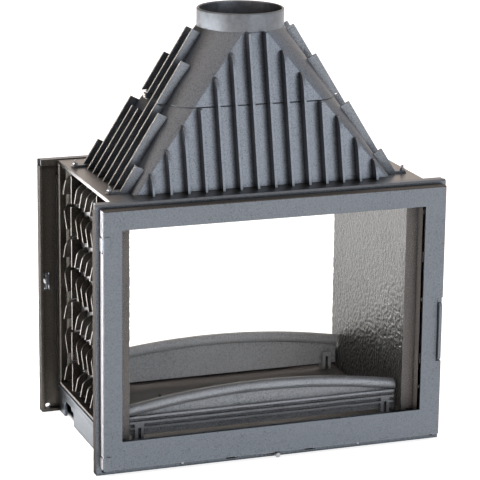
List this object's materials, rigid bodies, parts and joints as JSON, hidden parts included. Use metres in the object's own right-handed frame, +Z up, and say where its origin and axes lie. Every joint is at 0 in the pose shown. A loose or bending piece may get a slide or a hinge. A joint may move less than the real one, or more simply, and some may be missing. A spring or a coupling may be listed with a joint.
{
  "type": "double-sided fireplace insert",
  "caption": "Cast-iron see-through fireplace insert with a glazed hinged door on each face and a finned smoke hood.",
  "frame": {"origin": "middle of the base, on the floor", "axes": "+Z up; -Y towards the front door, +Y towards the rear door; +X to the right when facing the front"},
  "size_m": [0.83, 0.548, 0.996],
  "materials": {
    "iron_grey": "satin",
    "iron_dark": "matte",
    "iron_liner": "hammered",
    "steel": "satin",
    "glass": "clear",
    "rope": "matte"
  },
  "bodies": {
    "body": {"base_skirt": "iron_grey", "hearth_plate": "iron_dark", "ash_pan": "steel", "left_casing": "iron_dark", "right_casing": "iron_dark", "left_liner": "iron_liner", "right_liner": "iron_liner", "top_plate": "iron_dark", "hood_lower": "iron_grey", "hood_upper": "iron_grey", "seam_bolts": "steel", "flue_collar": "steel", "collar_screws": "steel", "hood_studs": "steel", "hood_nuts": "steel", "baffle_bars": "iron_dark", "smoke_baffle": "iron_dark", "front_frame": "iron_grey", "rear_frame": "iron_grey", "frame_screws": "steel", "front_air_bar": "iron_dark", "rear_air_bar": "iron_dark", "front_sill_strip": "iron_grey", "rear_sill_strip": "iron_grey", "strip_screws": "steel", "front_hinge_pins": "steel", "rear_hinge_pins": "steel", "front_hinge_washers": "steel", "rear_hinge_washers": "steel"},
    "front_door_leaf": {"front_door": "iron_grey", "front_glass": "glass", "front_glass_gasket": "rope", "front_glass_clips": "steel", "front_clip_screws": "steel", "front_door_seal": "rope", "front_latch_pin": "steel"},
    "front_latch": {"front_latch_lever": "iron_grey"},
    "front_air_control": {"front_air_slide": "steel", "front_air_knob": "steel"},
    "front_retainer": {"front_log_retainer": "iron_grey"},
    "rear_door_leaf": {"rear_door": "iron_grey", "rear_glass": "glass", "rear_glass_gasket": "rope", "rear_glass_clips": "steel", "rear_clip_screws": "steel", "rear_door_seal": "rope", "rear_latch_pin": "steel"},
    "rear_latch": {"rear_latch_lever": "iron_grey"},
    "rear_air_control": {"rear_air_slide": "steel", "rear_air_knob": "steel"},
    "rear_retainer": {"rear_log_retainer": "iron_grey"},
    "grate": {"fire_grate": "iron_dark"}
  },
  "joints": [
    {"name": "front_door_hinge", "type": "hinge", "parent": "body", "child": "front_door_leaf", "pos_m": [-0.399, -0.254, 0.3], "axis": [0, 0, -1], "range_deg": [0, 110]},
    {"name": "front_latch_turn", "type": "hinge", "parent": "front_door_leaf", "child": "front_latch", "pos_m": [0.3975, -0.255, 0.322], "axis": [-1, 0, 0], "range_deg": [-8, 25]},
    {"name": "front_air_slide_travel", "type": "slide", "parent": "body", "child": "front_air_control", "axis": [1, 0, 0], "range_m": [-0.022, 0.004]},
    {"name": "front_retainer_lift", "type": "slide", "parent": "body", "child": "front_retainer", "axis": [0, 0, 1], "range_m": [0, 0.12]},
    {"name": "rear_door_hinge", "type": "hinge", "parent": "body", "child": "rear_door_leaf", "pos_m": [0.399, 0.254, 0.3], "axis": [0, 0, -1], "range_deg": [0, 110]},
    {"name": "rear_latch_turn", "type": "hinge", "parent": "rear_door_leaf", "child": "rear_latch", "pos_m": [-0.3975, 0.255, 0.322], "axis": [1, 0, 0], "range_deg": [-8, 25]},
    {"name": "rear_air_slide_travel", "type": "slide", "parent": "body", "child": "rear_air_control", "axis": [-1, 0, 0], "range_m": [-0.022, 0.004]},
    {"name": "rear_retainer_lift", "type": "slide", "parent": "body", "child": "rear_retainer", "axis": [0, 0, 1], "range_m": [0, 0.12]},
    {"name": "grate_lift", "type": "slide", "parent": "body", "child": "grate", "axis": [0, 0, 1], "range_m": [0, 0.08]}
  ]
}
